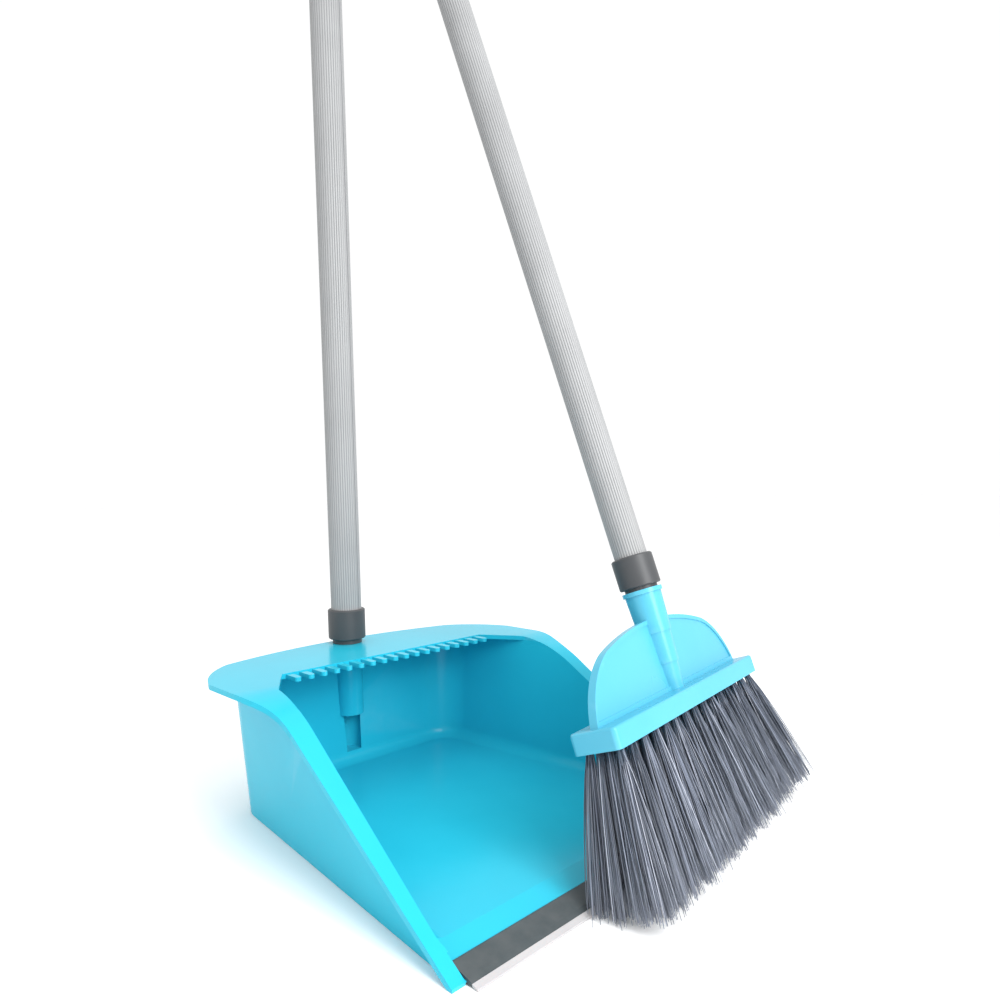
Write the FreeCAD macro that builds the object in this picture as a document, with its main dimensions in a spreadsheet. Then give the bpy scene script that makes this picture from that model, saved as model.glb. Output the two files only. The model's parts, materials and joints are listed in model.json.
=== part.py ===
"""A long-handled dust pan and its broom, as a parametric FreeCAD document.

Units are millimetres. +Z is up. The origin is on the floor, under the strip
that the pan rests on just behind its front edge: +X runs along that edge and
+Y runs back, under the pan. Each outline is drawn from the front edge itself,
and keep() then moves the finished piece forward. Every sub-part is written to
parts/ as one STEP file.
"""
import FreeCAD, Part
import math
import os
import re

import Sketcher
from FreeCAD import Placement, Rotation, Vector

# ---------------------------------------------------------------- driving sizes
SIZES = [
    # The pan
    ("deck_height", 95.0, "floor to the top of the rear deck"),
    ("pan_depth", 240.5, "front edge to the foot of the back wall"),
    ("pan_front_half", 114.5, "half the pan's width at its foot, at the front"),
    ("pan_back_half", 91.0, "half the pan's width at its foot, at the back"),
    ("wall_thickness", 2.5, "side and back walls"),
    ("wall_lean", 6.5, "how far a wall leans out over the deck's height"),
    ("corner_radius", 26.0, "rear corners, outside"),
    ("floor_height", 6.4, "top of the floor inside"),
    ("floor_thickness", 2.4, "the floor itself"),
    ("cove_radius", 9.0, "curve between the floor and the walls, inside"),
    ("ramp_length", 24.0, "the slope behind the front edge"),
    ("ramp_tip", 1.6, "height of the front edge"),
    ("edge_clearance", 0.9, "space under the front edge for the lip"),
    ("foot_width", 6.0, "rim that the pan rests on, round the hollow under its floor"),
    ("origin_setback", 25.0, "origin behind the front edge"),
    # The rim that sweeps from the front corners up to the rear deck
    ("rim_thickness", 3.2, "deck and rim"),
    ("rim_front", 1.5, "height of the rim at the front corners"),
    ("rim_bend", 90.0, "radius where the rim levels out into the deck"),
    ("deck_length", 71.0, "level part of the rim, from the foot of the back wall"),
    ("deck_overhang", 15.0, "deck behind the foot of the back wall"),
    ("deck_corner_half", 95.0, "half the length of the deck's rear edge"),
    ("deck_corner_back", 0.5, "end of the rear edge behind the wall's foot"),
    ("deck_back_radius", 329.0, "bow of the rear edge"),
    ("wing_reach", 34.5, "wings beside the foot of the back wall"),
    ("wing_round", 70.0, "radius of the wings' rear corners"),
    ("wing_back", 40.5, "wings' straight side starts before the wall's foot"),
    ("wing_front", 68.5, "wings' straight side ends before the wall's foot"),
    ("wing_end", 114.5, "wings have narrowed to the side rim here"),
    ("side_rim", 27.0, "side rim beside the foot of the back wall"),
    ("front_rim", 4.0, "side rim beside the wall's foot at the front"),
    # The comb
    ("comb_inset", 62.5, "tooth tips before the back wall's foot"),
    ("tooth_length", 12.5, "root to tip"),
    ("tooth_width", 4.2, "each tooth"),
    ("tooth_thickness", 2.6, "each tooth"),
    ("tooth_pitch", 9.3, "tooth to tooth"),
    ("tooth_count", 18, "teeth in the comb"),
    ("comb_margin", 5.0, "opening beside the outer teeth"),
    ("mouth_inset", 79.5, "rear corners of the opening before the wall's foot"),
    # The handle sockets
    ("handle_setback", 2.9, "handle's axis behind the back wall's foot"),
    ("socket_wall", 2.8, "pan's socket round the spigot"),
    ("socket_foot", 12.0, "bottom of the pan's socket"),
    ("socket_skirt", 42.0, "below this the socket is open to the pan"),
    ("spigot_radius", 7.5, "threaded spigot of either handle, over its crests"),
    ("spigot_length", 24.0, "spigot below the mouth of the socket"),
    ("thread_clearance", 0.08, "spigot in its socket, on the radius"),
    # The lip
    ("lip_inset", 4.2, "ends of the lip inside the pan's front corners"),
    ("lip_reach", 11.0, "lip over the ramp"),
    ("lip_nose", 3.4, "lip before the front edge"),
    ("blade_reach", 6.9, "blade before the front edge"),
    # Handles: the pan's own
    ("pan_sleeve_radius", 11.0, "ribbed sleeve"),
    ("pan_collar_wall", 2.5, "collar round the sleeve"),
    ("pan_collar_height", 21.5, "collar"),
    ("pan_ring_radius", 10.6, "ring below the collar"),
    ("pan_ring_height", 3.5, "ring below the collar"),
    ("pan_tube_top", 712.0, "mouth of the socket to the end of the tube"),
    ("pan_grip_wall", 3.0, "grip round the sleeve"),
    # Handles: the broom's
    ("broom_sleeve_radius", 10.0, "ribbed sleeve"),
    ("broom_collar_wall", 2.5, "collar round the sleeve"),
    ("broom_collar_height", 19.0, "collar"),
    ("broom_ring_radius", 9.9, "ring below the collar"),
    ("broom_ring_height", 2.0, "ring below the collar"),
    ("broom_tube_top", 745.0, "mouth of the socket to the end of the tube"),
    ("broom_grip_wall", 3.0, "grip round the sleeve"),
    # Both handles
    ("sleeve_wall", 0.37, "plastic sleeve on the tube"),
    ("tube_wall", 0.4, "steel tube"),
    ("press_gap", 0.03, "between pieces pressed together, on the radius"),
    ("collar_floor", 4.0, "bottom of the collar's cup"),
    ("plug_rise", 12.0, "ferrule's plug above the collar, in the tube"),
    ("grip_length", 112.0, "grip on the tube"),
    ("grip_cap", 3.0, "closed end of the grip"),
    ("grip_hole", 6.2, "hole in the closed end, radius"),
    ("end_plug_length", 12.0, "end plug in the tube"),
    ("end_plug_flange", 2.5, "end plug over the tube's end"),
    ("stem_radius", 4.0, "stem of the hanging loop"),
    ("stem_clearance", 0.06, "stem in the end plug, on the radius"),
    ("barb_radius", 5.4, "head that keeps the stem in the plug"),
    ("barb_height", 2.4, "that head"),
    ("loop_radius", 17.0, "hanging loop, outside"),
    ("loop_hole", 9.0, "hanging loop, hole's radius"),
    ("loop_thickness", 6.0, "hanging loop"),
    ("seat_gap", 0.1, "between faces that meet end to end"),
    # The broom's head
    ("bar_half", 97.0, "half the bar's length"),
    ("bar_width", 28.0, "bar, front to back"),
    ("bar_height", 11.0, "bar"),
    ("bar_round", 3.0, "bar's upright corners"),
    ("web_half", 93.0, "half the web's length on the bar"),
    ("web_shoulder", 34.0, "height where the web's ends meet its top"),
    ("web_shoulder_inset", 30.0, "the same place from the web's end"),
    ("web_end_radius", 48.0, "ends of the web"),
    ("web_top_radius", 220.0, "top of the web"),
    ("web_thickness", 3.0, "web"),
    ("bead_thickness", 4.6, "bead round the web"),
    ("bead_width", 2.6, "bead round the web"),
    ("head_socket_height", 61.0, "mouth of the socket above the bar"),
    ("socket_foot_waist", 0.7, "socket at the bar, inside the spigot's radius"),
    ("socket_low_wall", 0.3, "socket at the first step, over the spigot's radius"),
    ("socket_mid_wall", 1.8, "socket at the second step, over the spigot's radius"),
    ("socket_top_wall", 3.5, "socket under its rim, over the spigot's radius"),
    ("socket_rim_wall", 4.6, "socket's rim, over the spigot's radius"),
    ("head_rim_height", 2.6, "socket's rim"),
    ("first_step", 16.0, "first step above the bar"),
    ("second_step", 34.5, "second step above the bar"),
    ("step_size", 0.7, "how far each step stands out"),
    # The bristles
    ("tuft_rows", 4, "rows of tufts"),
    ("tuft_columns", 15, "tufts in a row"),
    ("tuft_inset", 7.5, "outer tufts from the bar's ends"),
    ("row_pitch", 5.8, "row to row"),
    ("tuft_root_radius", 2.1, "tuft in its hole"),
    ("tuft_tip_radius", 3.6, "tuft at its tip"),
    ("tuft_seat", 6.8, "tuft in the bar"),
    ("tuft_hole", 8.2, "depth of a tuft's hole"),
    ("tuft_gap", 0.05, "tuft in its hole, on the radius"),
    ("end_splay", 13.5, "outer tufts' slant along the bar, degrees"),
    ("row_splay", 5.0, "outer rows' slant across the bar, degrees"),
    ("tuft_length", 78.0, "longest tuft below the bar"),
    ("lip_clearance", 10.0, "tips that end over the pan's lip stay above this"),
    ("lip_margin", 24.0, "so do tips that end this close beside the pan's corner"),
    # How the broom stands
    ("stance_x", 74.8, "foot of the socket, across"),
    ("stance_y", 16.4, "foot of the socket, back from the pan's edge"),
    ("stance_height", 86.0, "foot of the socket above the floor"),
    ("stance_lean", 19.7, "handle leans back, degrees"),
    ("stance_turn", 7.5, "broom is turned about the vertical, degrees"),
]

os.makedirs("parts", exist_ok=True)
doc = FreeCAD.newDocument("dust_pan_set")
sheet = doc.addObject("Spreadsheet::Sheet", "Sizes")
for row, (alias, value, meaning) in enumerate(SIZES, start=1):
    sheet.set("A%d" % row, alias)
    sheet.set("B%d" % row, str(value))
    sheet.setAlias("B%d" % row, alias)
    sheet.set("C%d" % row, meaning)
doc.recompute()

ALIASES = {alias for alias, value, meaning in SIZES}
NODES = []


def size(expression):
    """The number that an expression of the sheet's sizes comes to."""
    result = sheet.evalExpression(expression)
    return float(getattr(result, "Value", result))


def bound(expression):
    """The same expression, as another object of the document writes it."""
    def prefix(match):
        word = match.group(0)
        return "Sizes." + word if word in ALIASES else word
    return re.sub(r"[a-z_]+", prefix, expression)


def keep(label, item):
    """Name a finished sub-part, put it in the set's frame and list it."""
    item.Label = label
    forward = Placement(Vector(0, -size("origin_setback"), 0), Rotation())
    item.Placement = forward.multiply(item.Placement)
    NODES.append(item)
    return item


# ------------------------------------------------------------- drawing helpers
def plane_of(body, role):
    """The origin plane or axis of a body with this role."""
    return [item for item in body.Origin.OriginFeatures if item.Role == role][0]


def place_value(sketch, index, axis, expression):
    """Hold one coordinate of the start of a line or the end of an arc."""
    edge, end = index
    if expression == "0":
        line = -2 if axis == "X" else -1
        sketch.addConstraint(Sketcher.Constraint("PointOnObject", edge, end, line))
        return
    value = size(expression)
    number = sketch.addConstraint(
        Sketcher.Constraint("Distance" + axis, -1, 1, edge, end, value))
    sketch.setExpression("Constraints[%d]" % number, bound(expression))


def outline(sketch, corners):
    """Close an outline through corners and hold each by its expressions.

    A corner is (x, y), or (x, y, radius, side) where an arc of that radius
    runs on to the next corner; side +1 has the arc's centre on the left.
    """
    points = [Vector(size(corner[0]), size(corner[1]), 0) for corner in corners]
    first = sketch.GeometryCount
    ends = []
    for number, corner in enumerate(corners):
        start = points[number]
        end = points[(number + 1) % len(points)]
        if len(corner) == 2:
            sketch.addGeometry(Part.LineSegment(start, end), False)
            ends.append((1, 2))
            continue
        radius = size(corner[2])
        chord = end - start
        across = Vector(-chord.y, chord.x, 0)
        across.normalize()
        rise = math.sqrt(max(radius ** 2 - (chord.Length / 2) ** 2, 0.0))
        centre = (start + end) * 0.5 + across * (rise * corner[3])
        begin, finish = (start, end) if corner[3] > 0 else (end, start)
        begin_angle = math.atan2(begin.y - centre.y, begin.x - centre.x)
        finish_angle = math.atan2(finish.y - centre.y, finish.x - centre.x)
        circle = Part.Circle(centre, Vector(0, 0, 1), radius)
        sketch.addGeometry(Part.ArcOfCircle(circle, begin_angle, finish_angle), False)
        ends.append((1, 2) if corner[3] > 0 else (2, 1))
    for number, corner in enumerate(corners):
        after = (number + 1) % len(corners)
        sketch.addConstraint(Sketcher.Constraint(
            "Coincident", first + number, ends[number][1], first + after, ends[after][0]))
    for number, corner in enumerate(corners):
        place_value(sketch, (first + number, ends[number][0]), "X", corner[0])
        place_value(sketch, (first + number, ends[number][0]), "Y", corner[1])
        if len(corner) > 2:
            held = sketch.addConstraint(
                Sketcher.Constraint("Radius", first + number, size(corner[2])))
            sketch.setExpression("Constraints[%d]" % held, bound(corner[2]))


def circle_sketch(sketch, x, y, radius):
    """A circle held by its centre and radius."""
    centre = Vector(size(x), size(y), 0)
    edge = sketch.addGeometry(Part.Circle(centre, Vector(0, 0, 1), size(radius)), False)
    place_value(sketch, (edge, 3), "X", x)
    place_value(sketch, (edge, 3), "Y", y)
    held = sketch.addConstraint(Sketcher.Constraint("Radius", edge, size(radius)))
    sketch.setExpression("Constraints[%d]" % held, bound(radius))


def new_sketch(body, name, role, height="0"):
    """A sketch on one of the body's origin planes, raised along its normal."""
    sketch = body.newObject("Sketcher::SketchObject", name)
    sketch.AttachmentSupport = [(plane_of(body, role), "")]
    sketch.MapMode = "FlatFace"
    if height != "0":
        sketch.AttachmentOffset = Placement(Vector(0, 0, size(height)), Rotation())
        sketch.setExpression("AttachmentOffset.Base.z", bound(height))
    return sketch


def pad(body, sketch, length, both_ways=False, downwards=False, taper=None):
    """Pad a sketch by a bound length; a taper widens it as it goes."""
    feature = body.newObject("PartDesign::Pad", sketch.Name + "_pad")
    feature.Profile = sketch
    feature.setExpression("Length", bound(length))
    feature.SideType = "Symmetric" if both_ways else "One side"
    feature.Reversed = downwards
    if taper:
        feature.setExpression("TaperAngle", bound(taper))
    return feature


def cut(body, sketch, length, both_ways=False, upwards=False, taper=None):
    """Pocket a sketch by a bound length and make sure that it removes something."""
    doc.recompute()
    before = body.Shape.Volume
    feature = body.newObject("PartDesign::Pocket", sketch.Name + "_cut")
    feature.Profile = sketch
    feature.setExpression("Length", bound(length))
    feature.SideType = "Symmetric" if both_ways else "One side"
    feature.Reversed = upwards
    if taper:
        feature.setExpression("TaperAngle", bound(taper))
    doc.recompute()
    if not 0 < body.Shape.Volume < before:
        raise RuntimeError("%s removes nothing, or everything" % feature.Name)
    return feature


def round_edges(body, base, chosen, radius, name):
    """Fillet the edges of a feature that chosen(edge) picks."""
    doc.recompute()
    names = ["Edge%d" % (number + 1)
             for number, edge in enumerate(base.Shape.Edges) if chosen(edge)]
    if not names:
        raise RuntimeError("%s finds no edge" % name)
    fillet = body.newObject("PartDesign::Fillet", name)
    fillet.Base = (base, names)
    fillet.setExpression("Radius", bound(radius))
    doc.recompute()
    return fillet


def turned(label, profile, placement):
    """A round piece: a profile of (radius, height) turned about its axis."""
    body = doc.addObject("PartDesign::Body", label)
    sketch = new_sketch(body, label + "_profile", "XZ_Plane")
    outline(sketch, profile)
    revolution = body.newObject("PartDesign::Revolution", label + "_turn")
    revolution.Profile = sketch
    revolution.ReferenceAxis = (sketch, ["V_Axis"])
    revolution.Angle = 360
    body.Tip = revolution
    body.Placement = placement
    return keep(label, body)


def extruded(label, role, profile, length):
    """A straight profile, padded evenly to both sides of its plane."""
    body = doc.addObject("PartDesign::Body", label)
    sketch = new_sketch(body, label + "_profile", role)
    outline(sketch, profile)
    body.Tip = pad(body, sketch, length, both_ways=True)
    return keep(label, body)


# ------------------------------------------------------------------ pan moulding
RIM_END = "(pan_depth - deck_length)"
RIM_DROP = "(deck_height - rim_bend - rim_front)"
RIM_ANGLE = ("(atan(%s / %s) + asin(rim_bend / sqrt(%s ^ 2 + %s ^ 2)))"
             % (RIM_DROP, RIM_END, RIM_END, RIM_DROP))
BEND_HEIGHT = "(deck_height - rim_bend)"
UNDER_BEND = "(rim_bend - rim_thickness)"
DECK_UNDERSIDE = "(deck_height - rim_thickness)"
FLARE = "((pan_front_half - pan_back_half) / pan_depth)"
LEAN = "(wall_lean / deck_height)"
WALL_ANGLE = "atan(wall_lean / deck_height)"
HANDLE_Y = "(pan_depth + handle_setback)"
WING_STEP = "(wing_reach - side_rim)"
WING_CURVE = "(((wing_end - wing_front) ^ 2 + %s ^ 2) / (4 * %s))" % (WING_STEP, WING_STEP)
SOCKET_RADIUS = "(spigot_radius + socket_wall)"
COMB_TIP_Y = "(pan_depth - comb_inset)"
COMB_ROOT_Y = "(pan_depth - comb_inset + tooth_length)"
COMB_HALF = "(tooth_pitch * (tooth_count - 1) / 2)"
INNER_LOW = "(%s * floor_height - wall_thickness)" % LEAN
INNER_HIGH = "(%s * %s - wall_thickness)" % (LEAN, DECK_UNDERSIDE)


def wall_half(depth):
    """Half the pan's width at its foot, this far back."""
    return "(pan_front_half - %s * %s)" % (FLARE, depth)


def pan_plan(sketch, front, spread):
    """The pan's plan, round at the rear, with its walls moved out by spread."""
    slant = "atan(%s)" % FLARE
    radius = "(corner_radius + %s)" % spread
    tangent = "(%s * tan(45 deg - %s / 2))" % (radius, slant)
    back = "(pan_depth + %s)" % spread
    front_half = "(%s + %s)" % (wall_half(front), spread)
    back_half = "(%s + %s)" % (wall_half(back), spread)
    side_x = "(%s + %s * sin(%s))" % (back_half, tangent, slant)
    side_y = "(%s - %s * cos(%s))" % (back, tangent, slant)
    back_x = "(%s - %s)" % (back_half, tangent)
    outline(sketch, [("-" + front_half, front), (front_half, front),
                     (side_x, side_y, radius, 1), (back_x, back),
                     ("-" + back_x, back, radius, 1), ("-" + side_x, side_y)])


def tub(body):
    """The outer walls, which lean outwards, cut to the rim's sweep."""
    foot = new_sketch(body, "foot", "XY_Plane")
    pan_plan(foot, "-5", "0")
    pad(body, foot, "(deck_height - rim_thickness / 2)", taper=WALL_ANGLE)
    above = new_sketch(body, "above_rim", "YZ_Plane")
    outline(above, rim_line() + [("pan_depth + 60", "deck_height"),
                                 ("pan_depth + 60", "deck_height + 40"),
                                 ("-60", "deck_height + 40"), ("-60", "-1"),
                                 ("0", "-1")])
    cut(body, above, "2 * (pan_back_half + wing_reach) + 60", both_ways=True)


def rim_line():
    """The rim's top from the front corner, up the slope and round to the deck."""
    return [("0", "rim_front"),
            ("(%s - rim_bend * sin(%s))" % (RIM_END, RIM_ANGLE),
             "(%s + rim_bend * cos(%s))" % (BEND_HEIGHT, RIM_ANGLE), "rim_bend", -1),
            (RIM_END, "deck_height")]


def deck_plan():
    """The deck and rim seen from above, clockwise from the front-left corner."""
    wing = "(pan_back_half + wing_reach)"
    side = "(pan_back_half + side_rim)"
    middle = "((%s + %s) / 2)" % (wing, side)
    turn_y = "(pan_depth - (wing_front + wing_end) / 2)"
    front = "(pan_front_half + front_rim)"
    left = [("-" + front, "0"),
            ("-" + side, "(pan_depth - wing_end)", WING_CURVE, 1),
            ("-" + middle, turn_y, WING_CURVE, -1),
            ("-" + wing, "(pan_depth - wing_front)"),
            ("-" + wing, "(pan_depth - wing_back)", "wing_round", -1),
            ("-deck_corner_half", "(pan_depth + deck_corner_back)",
             "deck_back_radius", -1)]
    right = [("deck_corner_half", "(pan_depth + deck_corner_back)", "wing_round", -1),
             (wing, "(pan_depth - wing_back)"),
             (wing, "(pan_depth - wing_front)", WING_CURVE, -1),
             (middle, turn_y, WING_CURVE, 1),
             (side, "(pan_depth - wing_end)"),
             (front, "0")]
    return left + right


def rim_and_deck(body):
    """One sheet that follows the rim's sweep, trimmed to the deck's plan."""
    lower_start = "((rim_thickness / cos(%s) - rim_front) / tan(%s))" % (
        RIM_ANGLE, RIM_ANGLE)
    end = "(pan_depth + deck_overhang + 5)"
    under_line = [(end, "deck_height"), (end, DECK_UNDERSIDE),
                  (RIM_END, DECK_UNDERSIDE, UNDER_BEND, 1),
                  ("(%s - %s * sin(%s))" % (RIM_END, UNDER_BEND, RIM_ANGLE),
                   "(%s + %s * cos(%s))" % (BEND_HEIGHT, UNDER_BEND, RIM_ANGLE)),
                  (lower_start, "0"), ("0", "0")]
    band = new_sketch(body, "rim_band", "YZ_Plane")
    outline(band, rim_line() + under_line)
    pad(body, band, "2 * (pan_back_half + wing_reach) + 4", both_ways=True)
    waste = new_sketch(body, "deck_waste", "XY_Plane")
    outline(waste, deck_plan())
    margin = "(pan_front_half + pan_back_half)"
    outline(waste, [("-" + margin, "-30"), (margin, "-30"),
                    (margin, "(pan_depth + 60)"), ("-" + margin, "(pan_depth + 60)")])
    cut(body, waste, "deck_height + 10", upwards=True)


def hollow(body):
    """The inside: coved round its floor, open above, closed under the deck."""
    low = new_sketch(body, "inside_foot", "XY_Plane", "floor_height")
    pan_plan(low, "-5", INNER_LOW)
    inside = cut(body, low, "(%s - floor_height)" % DECK_UNDERSIDE, upwards=True,
                 taper=WALL_ANGLE)
    floor = size("floor_height")

    def foot(edge):
        level = all(abs(corner.Z - floor) < 0.01 for corner in edge.Vertexes)
        box = edge.BoundBox
        return level and (box.YLength > 5 or box.YMin > size("pan_depth") * 0.8)
    round_edges(body, inside, foot, "cove_radius", "floor_cove")


def mouth(body):
    """The opening in the deck, up to the roots of the comb."""
    corner_y = "(pan_depth - mouth_inset)"
    corner_x = "(%s + %s)" % (wall_half(corner_y), INNER_HIGH)
    notch_x = "(%s + tooth_pitch / 2 + comb_margin)" % COMB_HALF
    front_y = "(%s - rim_bend * sin(%s))" % (RIM_END, RIM_ANGLE)
    front_x = "(%s + %s)" % (wall_half(front_y), INNER_HIGH)
    root_x = "(%s + tooth_pitch / 2)" % COMB_HALF
    sketch = new_sketch(body, "mouth", "XY_Plane", "(deck_height - 2 * rim_thickness)")
    outline(sketch, [("-" + front_x, front_y), (front_x, front_y),
                     (corner_x, corner_y),
                     (notch_x, "(%s - 1.5 * comb_margin)" % COMB_ROOT_Y),
                     (root_x, COMB_ROOT_Y), ("-" + root_x, COMB_ROOT_Y),
                     ("-" + notch_x, "(%s - 1.5 * comb_margin)" % COMB_ROOT_Y),
                     ("-" + corner_x, corner_y)])
    cut(body, sketch, "3 * rim_thickness", upwards=True)


def comb(body):
    """The teeth: round-ended fingers over the pan, which pull fluff off the broom."""
    root = "(%s + 1)" % COMB_ROOT_Y
    left = "(-%s - tooth_width / 2)" % COMB_HALF
    right = "(-%s + tooth_width / 2)" % COMB_HALF
    shoulder = "(%s + tooth_width / 2)" % COMB_TIP_Y
    sketch = new_sketch(body, "tooth", "XY_Plane", DECK_UNDERSIDE)
    outline(sketch, [(left, root), (left, shoulder, "tooth_width / 2 + 0.001", 1),
                     (right, shoulder), (right, root)])
    tooth = pad(body, sketch, "tooth_thickness")
    doc.recompute()
    teeth = body.newObject("PartDesign::LinearPattern", "teeth")
    teeth.Originals = [tooth]
    teeth.Direction = (plane_of(body, "X_Axis"), [""])
    teeth.setExpression("Length", bound("tooth_pitch * (tooth_count - 1)"))
    teeth.setExpression("Occurrences", bound("tooth_count"))
    body.Tip = teeth
    doc.recompute()


def pan_socket_lower(body):
    """The back of the socket, which goes on down outside the back wall."""
    low = new_sketch(body, "socket_low", "XY_Plane", "socket_foot")
    circle_sketch(low, "0", HANDLE_Y, SOCKET_RADIUS)
    pad(body, low, "(socket_skirt - socket_foot)")


def pan_socket_upper(body):
    """The whole socket under the deck, and the bore that takes the handle."""
    high = new_sketch(body, "socket_high", "XY_Plane", "socket_skirt")
    circle_sketch(high, "0", HANDLE_Y, SOCKET_RADIUS)
    pad(body, high, "(deck_height - rim_thickness / 2 - socket_skirt)")
    bore = new_sketch(body, "socket_bore", "XY_Plane", "(socket_foot + 2)")
    circle_sketch(bore, "0", HANDLE_Y, "(spigot_radius + thread_clearance)")
    cut(body, bore, "deck_height", upwards=True)


def front_edge(body):
    """The ramp down to the front edge and the space under it for the lip."""
    half = "(%s + %s)" % (wall_half("ramp_length"), INNER_LOW)
    ramp = new_sketch(body, "ramp", "YZ_Plane")
    over_cove = "(floor_height + cove_radius + 1)"
    outline(ramp, [("-2", "(ramp_tip - 2 * (floor_height - ramp_tip) / ramp_length)"),
                   ("ramp_length", "floor_height"),
                   ("(ramp_length + 2 * cove_radius)", over_cove), ("-2", over_cove)])
    cut(body, ramp, "2 * " + half, both_ways=True)
    seat_back = "(lip_reach + 0.5)"
    slope = "((floor_height - ramp_tip) / ramp_length)"
    seat = new_sketch(body, "lip_seat", "YZ_Plane")
    outline(seat, [("-2", "(ramp_tip - 2 * %s)" % slope),
                   (seat_back, "(ramp_tip + %s * %s)" % (slope, seat_back)),
                   (seat_back, over_cove), ("-2", over_cove)])
    cut(body, seat, "2 * (pan_front_half - lip_inset + 0.4)", both_ways=True)
    under = new_sketch(body, "lip_space", "YZ_Plane")
    outline(under, [("-2", "-1"), ("(ramp_length - 2)", "-1"),
                    ("(ramp_length - 2)", "edge_clearance"), ("-2", "edge_clearance")])
    cut(body, under, "2 * (pan_front_half - lip_inset + 0.4)", both_ways=True)
    hollow_under = new_sketch(body, "hollow_under", "XY_Plane")
    front_half = "(%s - foot_width)" % wall_half("ramp_length")
    outline(hollow_under, [("-" + front_half, "(ramp_length + 4)"),
                           (front_half, "(ramp_length + 4)"),
                           ("(pan_back_half - foot_width)", "(pan_depth - 3 * foot_width)"),
                           ("(pan_back_half - 4 * foot_width)", "(pan_depth - foot_width)"),
                           ("-(pan_back_half - 4 * foot_width)", "(pan_depth - foot_width)"),
                           ("-(pan_back_half - foot_width)", "(pan_depth - 3 * foot_width)")])
    cut(body, hollow_under, "(floor_height - floor_thickness)", upwards=True)


def dustpan():
    """The whole pan, one moulding."""
    body = doc.addObject("PartDesign::Body", "dustpan_moulding")
    tub(body)
    rim_and_deck(body)
    pan_socket_lower(body)
    hollow(body)
    mouth(body)
    pan_socket_upper(body)
    comb(body)
    front_edge(body)
    return keep("dustpan_moulding", body)


def lip():
    """The squeegee on the front edge: a dark carrier and its pale blade."""
    slope = "((floor_height - ramp_tip) / ramp_length)"
    back_top = "(ramp_tip + %s * lip_reach + press_gap)" % slope
    length = "2 * (pan_front_half - lip_inset)"
    extruded("lip_carrier", "YZ_Plane", [
        ("lip_reach", back_top), ("lip_reach", "(%s + 0.7)" % back_top),
        ("(lip_reach - 1.2)", "(%s + 1.2)" % back_top),
        ("-0.8", "(ramp_tip + 1.4)"), ("-lip_nose", "(ramp_tip + 0.3)"),
        ("-lip_nose", "edge_clearance"), ("-1.2", "0.15"), ("6", "0.15"),
        ("6", "(edge_clearance - 0.05)"), ("-0.06", "(edge_clearance - 0.05)"),
        ("-0.06", "(ramp_tip + press_gap)")], length)
    extruded("lip_blade", "YZ_Plane", [
        ("-lip_nose", "(ramp_tip + 0.2)"), ("(-blade_reach + 0.4)", "0.8"),
        ("-blade_reach", "0"), ("(-blade_reach + 1)", "0"),
        ("-lip_nose", "edge_clearance")], length)


# ---------------------------------------------------------------------- handles
def hanging_loop(label, top, placement):
    """A ring on a stem that turns in the end plug, held by a barbed head."""
    body = doc.addObject("PartDesign::Body", label)
    seat = "(%s + end_plug_flange + grip_cap + 2 * seat_gap)" % top
    centre = "(%s + 2 + loop_radius)" % seat
    barb_top = "(%s - end_plug_length - seat_gap)" % top
    sketch = new_sketch(body, label + "_stem", "XZ_Plane")
    outline(sketch, [("0", "(%s - barb_height)" % barb_top),
                     ("(stem_radius + 0.2)", "(%s - barb_height)" % barb_top),
                     ("barb_radius", barb_top), ("stem_radius", barb_top),
                     ("stem_radius", seat), ("(grip_hole + 2)", seat),
                     ("(grip_hole + 1)", "(%s + 2.5)" % seat),
                     ("stem_radius", "(%s + 6)" % seat), ("0", "(%s + 6)" % seat)])
    stem = body.newObject("PartDesign::Revolution", label + "_turn")
    stem.Profile = sketch
    stem.ReferenceAxis = (sketch, ["V_Axis"])
    stem.Angle = 360
    doc.recompute()
    ring = new_sketch(body, label + "_ring", "XZ_Plane")
    circle_sketch(ring, "0", centre, "loop_radius")
    circle_sketch(ring, "0", centre, "loop_hole")
    ring_pad = pad(body, ring, "loop_thickness", both_ways=True)
    doc.recompute()
    hole_radius = size("loop_hole")
    outer_radius = size("loop_radius")
    height = size(centre)

    def round_rim(edge):
        curve = edge.Curve
        if not hasattr(curve, "Radius") or abs(abs(curve.Axis.y) - 1) > 0.01:
            return False
        wanted = min(abs(curve.Radius - hole_radius), abs(curve.Radius - outer_radius))
        return wanted < 0.01 and abs(curve.Center.z - height) < 0.01
    body.Tip = round_edges(body, ring_pad, round_rim, "loop_thickness / 6",
                           label + "_edges")
    body.Placement = placement
    return keep(label, body)


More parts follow.
